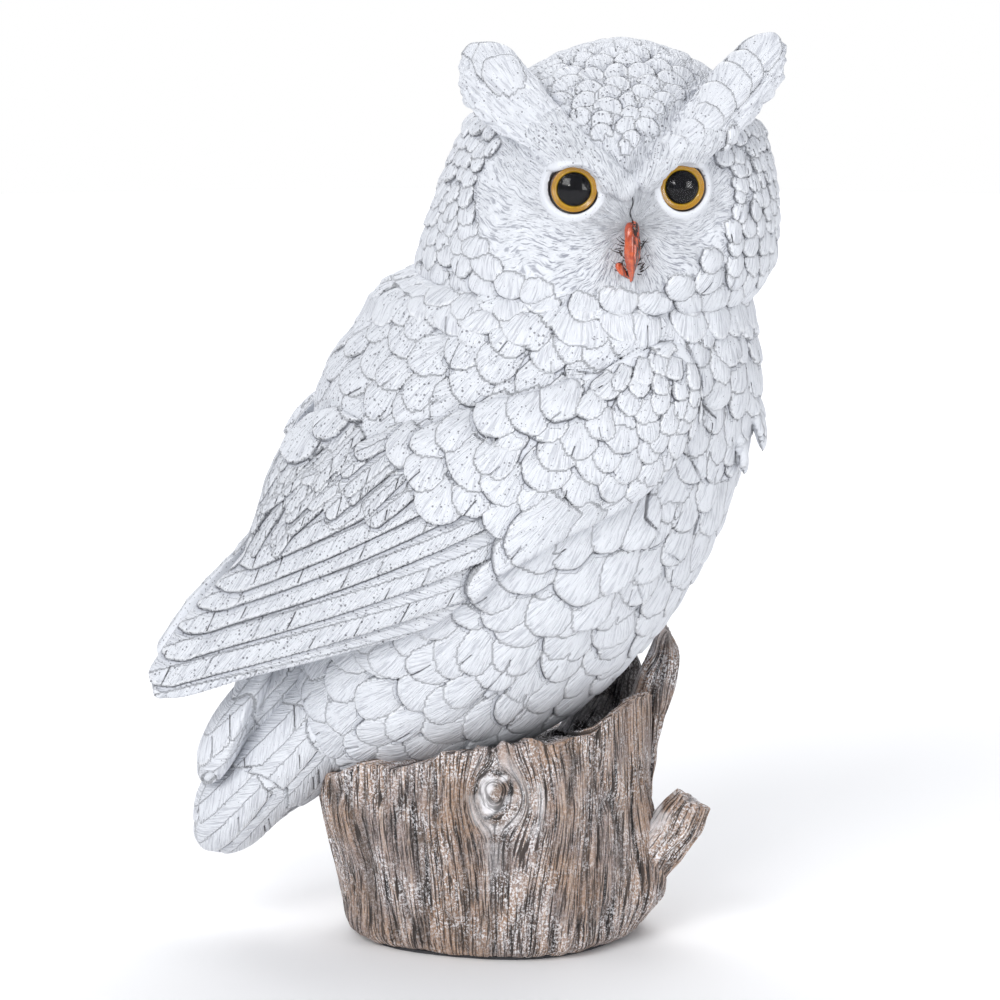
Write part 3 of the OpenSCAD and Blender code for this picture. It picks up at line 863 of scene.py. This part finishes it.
def head_skin():
    """The head with its facial discs, crown and collar, and with the brows' skin over the tufts."""
    filler = ellipsoid_part((32, 8, 242), (24, 20, 8))
    brows = [cad_part("right_brow_tuft"), cad_part("left_brow_tuft")]
    skin = Skin(*remesh("head", [cad_part("owl_head"), filler, neck_part()] + brows, voxel=0.56, relax=4))
    cover = over_brow(skin.v)
    for eye, side in zip(EYES, (-1, 1)):
        skin.v = clear_of_eye(skin.v, eye, eye_axis(side), 7.7 + 1.3 * np.clip(cover, 0, 1))
    v = skin.v
    x, y, z = v.T
    right = (v - BROW) @ FACE_RIGHT
    up = z - BROW[2]
    front = ease(-6, -24, y - 0.15 * (x - 36))
    reach = np.min([lengths(v - e) for e in EYES], axis=0)
    # Facial discs: fine strokes that run out from the root of the beak
    face = (front > 0.02) & (up > -42) & (up < 36)
    out = v - (BROW - [0, 0, 9])
    swirl = np.stack([-out[:, 2], 0 * right, out[:, 0]], 1) * (0.35 * noise(v, 14, 23))[:, None]
    flow = unit(unit(out + swirl) * [1, 1, 1.15] + [0, 0, -0.2])
    hair = hairs(v[face], flow[face], 1.1, 3.4, 4)
    soft = ease(10.3, 12.5, reach)
    skin.height[:] = -1.0
    skin.height[face] = 0.4 + 0.34 * hair * soft[face]
    fan = np.arctan2(up + 9 - 0.012 * right ** 2, right)
    fan = fan + 0.07 * noise(v, 10, 23) + 0.02 * noise(v, 3, 24)
    apart = lengths(out)
    skin.grain[face] = np.stack([42 * np.cos(fan), apart * 2.2, 63 * np.sin(fan)], 1)[face]
    near_beak = np.exp(-(((right + 4) / 24) ** 2 + ((up + 19) / 10) ** 2))
    skin.hair[face] = ((0.7 * near_beak + 0.6) * soft - 0.7 * (1 - soft))[face]
    brow = cover > 0
    skin.height[brow] = np.maximum(skin.height, 1.0 * cover - 0.3 + 0.3 * noise(v, 1.6, 7))[brow]
    # Crown: away from the brow, up and over the head
    off_brow = np.abs(cover) < 0.2
    crown = ((up > np.abs(right) * 0.95 - 1) | (up > 24) | ((y > 0) & (up > 10))) & off_brow
    away = v - BROW
    dist = lengths(away)
    angle = np.arctan2(right, away @ np.array([0, 0.6, 0.8]))
    size = np.interp(dist, [0, 12, 40, 80, 130], [4.2, 6.6, 9.5, 11.5, 12.5])
    pitch = graded([0, 12, 40, 80, 130], [2.8, 3.8, 5.0, 6.5, 7.5])
    picks = rows_of(skin, dist, angle, crown, 3, 150, pitch, size)
    lay(skin, picks, unit(away + [0, 0, 6]), size, lift=1.3, base=0.2, ragged=0.12, split=0.04, puff=0.35,
        fade=1.2)
    # The sides, the back and the chin: down to the collar
    half = np.where(right < 0, 45, 38)
    oval = np.hypot(right / half, (up - 1) / 28) + 0.06 * noise(v, 7, 17)
    disc = (front > 0.4) & (oval < 1) & (up < 24)
    from_middle = v[:, :2] - np.array([34, -2])
    turn = np.arctan2(from_middle[:, 1], from_middle[:, 0])
    size = np.interp(z, [212, 220, 230, 242, 275], [16, 14, 11, 8, 5.5])
    down = np.column_stack([unit(from_middle) * 0.25, np.full(len(v), -1.0)])
    down[:, 0] -= 0.25
    depth = -z + 2.0 * noise(v, 18, 2)
    pitch = graded([212, 222, 240, 275], [6.4, 5.8, 5.0, 3.8], span=-1)
    picks = rows_of(skin, depth, turn, ~crown & ~disc & off_brow, -278, -215, pitch, size)
    lay(skin, picks, down, size, lift=1.8, base=0.8, ragged=0.25, split=0.3, puff=0.4, fade=1.6)
    fill_gaps(skin, (y > -12) & (z > 216) & off_brow, down, size)
    # Lids stand round the eyes in a shallow dish, with a crease from the brow to the beak
    rim = bell(reach - LID_R, 1.3)
    dish = -1.8 * bell(reach - 13, 7.0) * front
    cheek = 2.0 * np.exp(-(((np.abs(right) - 14) / 10) ** 2 + ((up + 22) / 9) ** 2)) * front
    bridge = 1.8 * bell(right, 3.6) * ease(-16, -6, up) * ease(12, 2, up) * front
    skin.extra = 1.3 * rim * front + dish + cheek + bridge - 2.0 * ease(24, 40, up)
    skin.extra += np.minimum(cover, 0) * 3 - dish * np.clip(cover, 0, 1)
    # The slit guide makes the paint darken the crease: painted shade in it
    crease = (np.abs(right) < REACH) & (up > -9) & (up < 3) & (y < -30)
    from_crease = right + 0.5 * np.sin(up * 0.9)
    skin.slit[crease, 0] = from_crease[crease]
    skin.slit[crease, 1] = 1
    skin.height -= 0.9 * crease * bell(from_crease, 0.5)
    skin.flecks = np.clip(0.6 + 0.02 * up, 0.4, 1.0)
    return skin


def whiskers(skin):
    """Dark bristles that lie on the face on both sides of the beak."""
    rings, sides = 6, 5
    bristles = []
    for side in (-1, 1):
        for k in range(15):
            start = np.array([42.0, -54.0, 236 - k * 0.75]) + FACE_RIGHT * side * RNG.uniform(1.8, 3.6)
            lean = side * RNG.uniform(0.5, 1.0)
            heading = unit(FACE_RIGHT * lean + np.array([0, 0, RNG.uniform(-0.5, 0.9)]))
            length = RNG.uniform(1.6, 3.8)
            verts = []
            for t in np.arange(rings) / (rings - 1):
                p = start + heading * length * t + np.array([0, 0, 0.9 * t * t])
                i = skin.near(p, 9)
                if len(i):
                    i = i[np.argmin(((skin.v[i][:, [0, 2]] - p[[0, 2]]) ** 2).sum(1))]
                    p[1] = skin.v[i, 1] - skin.height[i] - skin.extra[i] - 0.02
                r = 0.22 * (1 - t) + 0.05
                for a in np.arange(sides) * 2 * math.pi / sides:
                    verts.append(p + np.array([math.cos(a), 0.3 * math.sin(a * 2), math.sin(a)]) * r)
            bristles.append((np.array(verts), tube_faces(rings, sides)))
    return bristles


def tuft_skin(node, side, pitch, start):
    """A brow and ear tuft: strands of hair, with a file of round feathers that step up to the tip."""
    skin = Skin(*remesh(node, [cad_part(node)], voxel=0.46, relax=4))
    v = skin.v
    low, path = lowest_to_highest(v)
    along = (v - low) @ path
    span = along.max()
    crown_way = unit(np.cross(path, FACE_OUT)) * -side
    stops = np.linspace(0, span, 14)
    middle = middle_line(v, along, stops, span / 13)
    halves = np.array([np.ptp(v[np.abs(along - s) < span / 26] @ crown_way) / 2 for s in stops])
    off = v - middle(along)
    outer = np.clip(-off @ crown_way / np.maximum(np.interp(along, stops, halves), 1), 0, 1)
    flow = unit(path - crown_way * (0.5 * outer * ease(0.3, 0.7, along / span))[:, None])
    skin.height[:] = 0.42 * hairs(v, flow, 1.0, 3.4, 31) - 0.3
    skin.grain = np.stack([off @ crown_way * 0.9, along * 1.6, off @ FACE_OUT * 1.3], 1)
    skin.hair[:] = 0.1
    for facing in (1, -1):
        s = start * span
        while s < span * 0.84:
            grade = float(np.interp(s / span, [0, 0.5, 1], [0.6, 1.0, 1.25]))
            step = pitch * grade * RNG.uniform(0.85, 1.15)
            size = float(np.interp(s + step, stops, halves)) * RNG.uniform(1.2, 1.5)
            heading = middle(s + step) - middle(s) + crown_way * 0.12 * step
            root = middle(s) + crown_way * size * RNG.uniform(0.10, 0.22)
            skin.stamp(root, heading, FACE_OUT * facing, step * 2.5, size, lift=2.0, tip=0.55, base=-0.2,
                       ragged=0.3, split=0.1, puff=0.5, fade=2.4, facing=-0.1, depth=14)
            s += step
    shag = outer * ease(0.35, 0.6, along / span)
    skin.extra = shag * (0.9 * hairs(v, flow, 2.2, 3.0, 33) + 0.5)
    skin.flecks[:] = 0.75
    return skin


def step_the_tail(node, v):
    """The upper tail feathers end in an edge that stands proud, beside a deep fold in the tail."""
    x, y, z = v.T
    past = (x + 80) * 0.928 - (z - 78) * 0.373 + 0.5
    near_side = ease(0, -8, y)
    if node == "upper_tail":
        out = 6.5 * ease(1.5, -1.5, past) - 6 * ease(0.5, 3, past)
    else:
        out = -6 * bell(past - 1, 6) * ease(36, 74, z)
    return v - (near_side * out)[:, None] * [0, 1, 0]


def tail_skin(node, flow, lanes, width, length):
    """Long tail feathers side by side, the middle one on top."""
    v, quads = remesh(node, [cad_part(node)], voxel=0.6)
    v = step_the_tail(node, v)
    skin = Skin(v, quads)
    flow = unit(np.array(flow, float))
    across = np.cross(flow, [0, 1.0, 0])
    lowest = (v @ flow).max()
    centre = v.mean(0)
    middle_lane = (lanes - 1) / 2
    for facing in (-1, 1):
        out = np.array([0, float(facing), 0])
        for k in sorted(range(lanes), key=lambda lane: -abs(lane - middle_lane)):
            offset = (k - middle_lane) * width * 0.72
            for row in range(3):
                tip = lowest - abs(offset) * 0.35 - row * length * 0.62
                end = centre + flow * (tip - centre @ flow) + across * offset
                base = 0.3 + 0.2 * row - 0.05 * abs(offset)
                skin.stamp(end - flow * length, flow, out, length, width, lift=1.2, tip=0.8, tilt=0.3,
                           vane=True, base=base, split=0.6, ragged=0.3, puff=0.4, facing=-0.35, depth=60)
    skin.flecks[:] = 0.5
    return skin


# ---- The stump ----

KNOT = np.array([0.5, 56.5])  # across the front and up, in mm
KNOT_R = 7.4
STUB_WAY = unit(np.array([0.47, 0.0, 0.88]))


def wood_grain(v):
    """Across and along the grain. On the trunk the grain flows round the knot."""
    x, y, z = v.T
    turn = np.arctan2(x, -y)
    across = turn * 50
    along = z
    across += 2.6 * noise(np.stack([across, along * 0.35, along * 0], 1), 17, 31)
    dx, dz = across - KNOT[0], (along - KNOT[1]) * 0.8
    r2 = np.maximum(dx * dx + dz * dz, 1)
    pull = np.where(r2 > KNOT_R ** 2, KNOT_R ** 2 / r2, 1.0)
    across = KNOT[0] + dx * (1 - 0.92 * pull)
    return across, along, np.sqrt(r2)


def grooves(across, along, seed):
    """Long cracks and finer grooves, as a depth in mm."""
    wide = streaks(across, along, 3.4, 34, seed)
    thin = streaks(across, along, 1.5, 20, seed + 1)
    crack = ease(0.30, 0.0, np.abs(wide + 0.12))
    return 1.15 * crack + 0.40 * ease(0.28, 0.0, np.abs(thin)), crack


def along_grain(across, size, seed):
    """Noise that is the same all along the grain."""
    return noise(np.stack([across, across * 0, across * 0], 1), size, seed)


def stump_skin():
    """The trunk, its hollow filled, as nothing is seen of it, with its paint guides."""
    plug, faces = turned_part([(44.5, 5.3), (45.5, 30), (40, 42)], 40)
    plug = plug * [1, 0.93, 1] + [-1.0, 0, 0]
    skin = Skin(*remesh("stump", [cad_part("stump"), (plug, faces)], voxel=0.66, relax=4))
    v, n = skin.v, skin.n
    x, y, z = v.T
    near_side = y < 0
    across, along, from_knot = wood_grain(v)
    depth, crack = grooves(across, along, 11)
    wall = ease(0.75, 0.45, np.abs(n[:, 2]))
    top = ease(0.35, 0.65, n[:, 2]) * (z > 30)
    knot = ease(KNOT_R * 1.05, KNOT_R * 0.8, from_knot) * near_side * wall
    lip = bell(from_knot - KNOT_R * 1.15, 2.0) * near_side * wall
    spot = from_knot + 2.0 * noise(v, 7, 77)
    swirl = np.sin(spot * 2.3 + 2 * noise(v, 3, 2)) * ease(3.6, 4.8, spot)
    rings = 0.4 * swirl - 0.6 * ease(5, 1, spot)
    height = -depth * (1 - knot) * (0.25 + 0.75 * wall)
    height += knot * rings + lip * 1.7
    height += 1.5 * noise(v, 24, 41) * wall + 0.5 * noise(v * [1, 1, 0.35], 5, 42)
    # Hatching down the rotten bowl
    radial = np.arctan2(x - 8, y - 4) * 30 + z * 0.7
    hatch = streaks(radial, z, 1.8, 8, 15)
    height -= top * 0.9 * ease(0.3, 0, np.abs(hatch))
    skin.height = height
    # The rim is broken: splinters of wood stand up and notches run down
    lift = along_grain(across, 2.6, 51) + 0.9 * along_grain(across, 8, 52)
    flat = 62.5 + 0.164 * x - 0.2 * y
    near_rim = ease(-9, -0.5, z - flat) * ease(30, 40, np.hypot(x, y))
    # and it climbs towards the tall splinter
    climb = 9 * ease(27, 47, x) * ease(14, 0, y)
    skin.v = v + ((1.3 * lift + climb) * near_rim)[:, None] * [0, 0, 1]
    # The trunk swells round the foot of the stub
    off = v - cad_part("branch_stub")[0].mean(0)
    off -= (off @ STUB_WAY)[:, None] * STUB_WAY
    swell = 6.5 * bell(lengths(off), 12) * (x > 20) * ease(3, 14, z)
    skin.v += (swell * wall)[:, None] * n
    # Painted shade: the filled hollow's top is painted near black, standing in for the shade down in the
    # hollow. The cracks and the knot's rings are painted dark as well.
    hollow = ease(41, 37, np.hypot(x - 3, y * 1.06)) * (z > 35)
    dark = np.clip(0.95 * hollow + 0.6 * crack * wall + 0.7 * ease(0.1, 0.5, swirl) * knot, 0, 1)
    drip = bell(across - 9.5, 1.6) * ease(66, 60, along) * ease(38, 48, along) * near_side
    below = bell(across - KNOT[0], 1.8) * ease(20, 34, along) * (along < KNOT[1]) * near_side
    ridge = ease(-0.5, 0.25, noise(v, 3.5, 61))
    core = ease(5.2, 4.2, spot + 1.6 * noise(v, 3, 78)) * near_side * wall
    pale = core * 2.2 + lip * 0.35 + drip * 0.7 + below * 0.75
    pale = np.clip(pale * ridge * (1 - 0.6 * crack), 0, 2)
    frost = np.clip(0.8 + 0.2 * noise(v, 30, 8) + 0.2 * near_rim, 0, 1)
    turned = 0.7 * np.maximum(KNOT_R * 1.05 - from_knot, 0) * near_side * (1 + 0.3 * noise(v, 4, 79))
    return skin, np.stack([dark, pale, frost], 1), np.stack([across, along, turned], 1)


def limb_skin(node, path, voxel, seed, shadow):
    """A splinter or stub, with its grain along path. shadow blackens its foot, in the hollow."""
    skin = Skin(*remesh(node, [cad_part(node)], voxel, relax=2))
    v = skin.v
    path = unit(np.array(path, float))
    along = v @ path
    side = unit(np.cross(path, [0.0, 1.0, 0.0]))
    front = np.cross(side, path)
    centre = v.mean(0)
    turn = np.arctan2((v - centre) @ side, (v - centre) @ front)
    across = turn * 7 + 1.2 * noise(v, 9, seed)
    depth, crack = grooves(across, along, seed)
    skin.height = -0.8 * depth + 0.8 * noise(v, 6, seed + 2)
    white = 0.8 * ease(-0.1, 0.7, skin.n[:, 2]) * ease(-0.4, 0.3, noise(v, 4, seed + 3))
    dark = np.clip(0.5 * crack + shadow * ease(100, 84, v[:, 2]), 0, 0.97)
    paint = np.stack([dark, white, np.ones(len(v))], 1)
    return skin, paint, np.stack([across, along, 0 * along], 1)


def wood_piece(name, made, materials):
    skin, paint, grain = made
    moved = skin.v + skin.n * skin.height[:, None]
    add_piece(name, [(moved, skin.quads)], [name], "bark", materials, edge=paint, grain=grain)


# ---- Eyes and beak ----

def dome_line(radius, base, rise):
    """Points from the rim of a shallow dome to its top."""
    ball = (radius ** 2 + rise ** 2) / (2 * rise)
    reach = math.asin(radius / ball)
    line = []
    for a in np.linspace(reach, 0.01, 14):
        line.append((ball * math.sin(a), base + rise - ball * (1 - math.cos(a))))
    return line


RING_ZERO = 1.4  # how far the eye's outlines have their zero in front of the ring's middle


def set_in_eye(part, side):
    """Turns a solid about Z to the eye's axis and puts it in its socket."""
    v, f = part
    out = eye_axis(side)
    right = np.array([-out[1], out[0], 0])
    origin = EYES[0 if side < 0 else 1] + out * RING_ZERO
    return origin + v[:, :1] * right + v[:, 1:2] * [0, 0, 1] + v[:, 2:] * out, f


def iris_paint():
    """Gold near the pupil, amber outside it and a dark rim."""
    p = Paint("iris")
    radius = p.attribute("edge")[0]
    mottle = p.noise(p.place, 1.6, 3.0)
    colour = p.mix(p.ramp(radius, 5.5, 6.1), (0.72, 0.43, 0.03), (0.50, 0.25, 0.012))
    colour = p.mix(p.times(p.ramp(mottle, 0.45, 0.65), 0.5), colour, (0.36, 0.17, 0.01))
    colour = p.mix(p.ramp(radius, 6.95, 7.2), colour, (0.16, 0.08, 0.03))
    p.shader.inputs["Coat Weight"].default_value = 0.5
    return p.finish(colour, mottle, 0.22, 0.32, p.bump(mottle, 0.04))


def clear_paint():
    p = Paint("lens")
    fine = p.noise(p.place, 0.5)
    p.shader.inputs["Alpha"].default_value = 0.05
    p.shader.inputs["IOR"].default_value = 1.5
    tint = p.mix(fine, (0.010, 0.010, 0.012), (0.02, 0.02, 0.02))
    return p.finish(tint, fine, 0.02, 0.04)


def make_eyes():
    iris = iris_paint()
    black = gloss_paint("pupil", (0.002, 0.002, 0.003), (0.006, 0.006, 0.008), scale=0.4,
                        roughness=0.04, coat=0.04, shine=0.28)
    clear = clear_paint()
    outline = [(5.3, -4.9), (7.3, -4.9), (7.3, 1.4), (7.2, 1.95), (6.95, 2.1), (6.6, 1.85),
               (6.0, 1.75), (5.5, 1.6), (5.3, 1.3)]
    ring = turned_part(outline, 72, closed=True)
    radius = np.hypot(ring[0][:, 0], ring[0][:, 1])
    guide = np.stack([radius, radius * 0, radius * 0], 1)
    pupil = turned_part([(4.8, -3.0), (5.2, -2.8), (5.25, 1.8)] + dome_line(5.25, 2.0, 1.9), 72)
    inner = dome_line(5.35, 2.05, 1.95)
    outer = dome_line(6.9, 2.15, 2.6)
    lens = turned_part([(5.5, 2.1), (6.8, 2.1)] + outer + inner[::-1], 72, closed=True)
    for side, eye in ((-1, "right"), (1, "left")):
        name = eye + "_eye_ring"
        add_piece(name, [set_in_eye(ring, side)], [name], "iris", [iris], edge=guide)
        name = eye + "_pupil"
        add_piece(name, [set_in_eye(pupil, side)], [name], "pupil", [black])
        name = eye + "_eye_lens"
        add_piece(name, [set_in_eye(lens, side)], [name], "lens", [clear])


def beak_paint():
    """Orange-red with dark brush strokes down the side that the owl's left eye is on, and pale streaks
    along the strokes as a painted highlight.
    """
    p = Paint("beak")
    grain = p.attribute("grain")
    strand = p.vector(p.times(grain[0], 1.3), p.times(grain[2], 0.16), grain[1])
    stroke = p.noise(strand, 1.0, 3.0, 0.6)
    blotch = p.noise(p.place, 0.5, 3.0)
    colour = p.mix(p.ramp(blotch, 0.4, 0.6), (0.62, 0.115, 0.04), (0.42, 0.06, 0.022))
    dark = p.times(p.ramp(stroke, 0.58, 0.48), p.ramp(grain[0], -0.9, 0.4))
    colour = p.mix(dark, colour, (0.03, 0.012, 0.010))
    # Painted highlight: pale streaks along the strokes
    shine = p.times(p.ramp(stroke, 0.6, 0.72), 0.35)
    colour = p.mix(shine, colour, (0.90, 0.42, 0.30))
    p.shader.inputs["Coat Weight"].default_value = 0.5
    return p.finish(colour, blotch, 0.22, 0.34, p.bump(stroke, 0.25))


def make_beak():
    paint = beak_paint()
    for node, voxel in (("upper_beak", 0.2), ("lower_beak", 0.14)):
        v, quads = remesh(node, [cad_part(node)], voxel, relax=2)
        n = normals_of(v, quads)
        middle = v.mean(0)
        across = (v - middle) @ FACE_RIGHT
        # It narrows to a point below, round a flattened ridge with a facet down each side
        height = (v[:, 2] - v[:, 2].min()) / np.ptp(v[:, 2])
        if node == "upper_beak":
            slim = 0.35 + 0.65 * ease(0, 0.5, height)
            v = v - (across * (1 - slim))[:, None] * FACE_RIGHT
        else:
            v = v + (1.6 * (1 - height))[:, None] * FACE_RIGHT
        v = v + n * (0.22 * np.cos(np.arctan2(across, -(v[:, 1] - middle[1])) * 5))[:, None]
        guide = np.stack([across, v[:, 1], v[:, 2]], 1)
        add_piece(node, [(v, quads)], [node], "beak", [paint], grain=guide)


# ---- Put together ----

def mirrored(skin):
    """The other wing: the same skin and paint guides on the other side."""
    twin = copy.copy(skin)
    twin.v = skin.v * [1, -1, 1]
    twin.n = skin.n * [1, -1, 1]
    twin.quads = skin.quads[:, ::-1]
    return twin


def make_owl():
    white = plumage_paint()
    bristle = gloss_paint("bristle", (0.015, 0.013, 0.013), (0.05, 0.03, 0.025), scale=0.8,
                          roughness=0.4, coat=0.1)
    wing = wing_skin()
    body = body_skin(wing)
    head = head_skin()
    for skin in (wing, body, head):
        skin.settle()
    wing.sink(ease(-0.05, -0.85, wing.n[:, 1]))
    body.build("owl_body", ["owl_body"], "plumage", [white])
    wing.build("right_wing", ["right_wing"], "plumage", [white])
    mirrored(wing).build("left_wing", ["left_wing"], "plumage", [white])
    head.build("owl_head", ["owl_head"], "plumage", [white, bristle], whiskers(head))
    rest = [("right_brow_tuft", tuft_skin, (-1, 6.5, 0.62)),
            ("left_brow_tuft", tuft_skin, (1, 7.0, 0.12)),
            ("tail", tail_skin, ((-0.67, 0, -0.74), 5, 12, 42)),
            ("upper_tail", tail_skin, ((-0.68, 0, -0.73), 2, 11, 42))]
    for node, make_skin, sizes in rest:
        skin = make_skin(node, *sizes)
        skin.settle()
        skin.build(node, [node], "plumage", [white])


def make_wood():
    bark = bark_paint()
    wood_piece("stump", stump_skin(), [bark])
    limbs = [("branch_stub", STUB_WAY, 0.4, 71, 0.0), ("tall_splinter", (0.2, 0, 1), 0.42, 81, 0.0),
             ("inner_splinter", (0.35, 0, 1), 0.42, 91, 0.9)]
    for node, *shape in limbs:
        wood_piece(node, limb_skin(node, *shape), [bark])


def make_hidden():
    """The pieces under and inside the castings keep their CAD shape."""
    felt = plain_paint("felt", (0.035, 0.035, 0.04), (0.07, 0.07, 0.075), 2.5, roughness=0.9, depth=0.2)
    plate = plain_paint("plate", (0.16, 0.14, 0.12), (0.24, 0.21, 0.18), 0.35, roughness=0.65)
    steel = plain_paint("dowel", (0.45, 0.45, 0.46), (0.6, 0.6, 0.6), 1.2, roughness=0.35, depth=0.03,
                        metal=0.9)
    for node, paint in (("felt_pad", felt), ("base_plate", plate),
                        ("seat_dowels", steel), ("neck_dowel", steel)):
        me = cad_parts[node].data
        me.materials.clear()
        me.materials.append(paint)


def area_light(name, place, aim, size, power):
    light = bpy.data.lights.new(name, "AREA")
    light.shape = "RECTANGLE"
    light.size = light.size_y = size
    light.energy = power
    ob = add_object(name, light)
    ob.location = place
    ob.rotation_euler = (Vector(aim) - Vector(place)).to_track_quat("-Z", "Y").to_euler()


TABLE_R = 1.9  # metres: the table ends before the light on it fades


def make_studio():
    p = Paint("paper")
    shade = p.noise(p.place, 0.002)
    colour = p.mix(shade, (0.90, 0.90, 0.91), (0.93, 0.93, 0.93))
    paper = p.finish(colour, shade, 0.85, 0.9)
    turns = np.linspace(0, 2 * math.pi, 64, endpoint=False)
    rim = [(TABLE_R * math.cos(a), TABLE_R * math.sin(a), 0.0) for a in turns]
    me = bpy.data.meshes.new("table")
    me.from_pydata(rim, [], [tuple(range(len(rim)))])
    me.materials.append(paper)
    table = add_object("table", me)
    area_light("key", (-1.9, -3.0, 2.3), (0, 0, 0.15), size=2.2, power=102)
    area_light("fill", (3.3, -2.4, 0.6), (0, 0, 0.15), size=1.7, power=58)
    area_light("catch", (-0.55, -2.2, 0.85), (0, 0, 0.2), size=0.26, power=5)
    area_light("behind", (0.0, 2.4, 2.2), (0, 2.6, 0), size=3.0, power=90)
    # The world lights the owl softly, and is seen as plain white
    world = bpy.data.worlds.new("studio")
    world.use_nodes = True
    tree = world.node_tree
    soft = tree.nodes["Background"]
    soft.inputs[0].default_value = (0.93, 0.95, 1.0, 1)
    soft.inputs[1].default_value = 0.46
    seen = tree.nodes.new("ShaderNodeBackground")
    seen.inputs[0].default_value = (1, 1, 1, 1)
    path = tree.nodes.new("ShaderNodeLightPath")
    pick = tree.nodes.new("ShaderNodeMixShader")
    tree.links.new(path.outputs["Is Camera Ray"], pick.inputs[0])
    tree.links.new(soft.outputs[0], pick.inputs[1])
    tree.links.new(seen.outputs[0], pick.inputs[2])
    tree.links.new(pick.outputs[0], tree.nodes["World Output"].inputs["Surface"])
    bpy.context.scene.world = world
    # Plain display colours, so that the paints show as they are
    bpy.context.scene.view_settings.view_transform = "Standard"


def make_camera():
    """Level with the owl's head and a little over it, from well back."""
    rise = math.radians(11)
    aim = Vector((0.001, 0, 0.1435))
    camera = add_object("camera", bpy.data.cameras.new("camera"))
    distance = 1.6
    camera.location = aim + Vector((0, -math.cos(rise), math.sin(rise))) * distance
    camera.rotation_euler = (math.pi / 2 - rise, 0, 0)
    camera.data.lens = 176.4
    camera.data.sensor_width = 36
    camera.data.clip_start = 0.1
    camera.data.clip_end = 20
    bpy.context.scene.camera = camera


make_owl()
make_wood()
make_eyes()
make_beak()
make_hidden()
make_studio()
make_camera()
bpy.context.view_layer.update()
